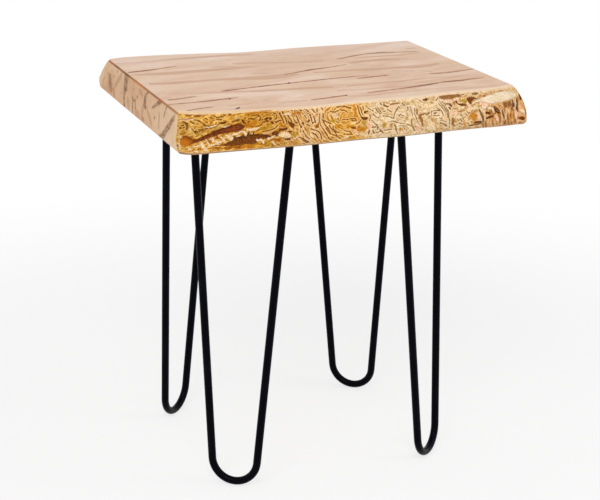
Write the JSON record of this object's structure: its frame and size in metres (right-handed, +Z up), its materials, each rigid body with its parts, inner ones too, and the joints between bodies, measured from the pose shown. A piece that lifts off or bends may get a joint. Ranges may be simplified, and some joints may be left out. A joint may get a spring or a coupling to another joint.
{
  "type": "side table",
  "caption": "Square side table with a thick live-edge wood slab on black bent-rod hairpin legs set across the corners.",
  "frame": {"origin": "centre of the bounding box on the floor, under the middle of the slab", "axes": "+X along the grain to the right end, +Y to the rear live edge, +Z up; the front live edge faces -Y"},
  "size_m": [0.4389, 0.404, 0.5029],
  "materials": {
    "slab_wood": "hand-rubbed satin oil on sanded top, natural live edges",
    "rod_black": "satin black powder coat",
    "plate_black": "satin black powder coat",
    "screw_black": "black oxide"
  },
  "bodies": {
    "root": {"slab_top": "slab_wood", "hairpin_rod_front_left": "rod_black", "hairpin_rod_front_right": "rod_black", "hairpin_rod_rear_left": "rod_black", "hairpin_rod_rear_right": "rod_black", "mounting_plate_front_left": "plate_black", "mounting_plate_front_right": "plate_black", "mounting_plate_rear_left": "plate_black", "mounting_plate_rear_right": "plate_black", "plate_screws_front_left": "screw_black", "plate_screws_front_right": "screw_black", "plate_screws_rear_left": "screw_black", "plate_screws_rear_right": "screw_black"}
  },
  "joints": []
}
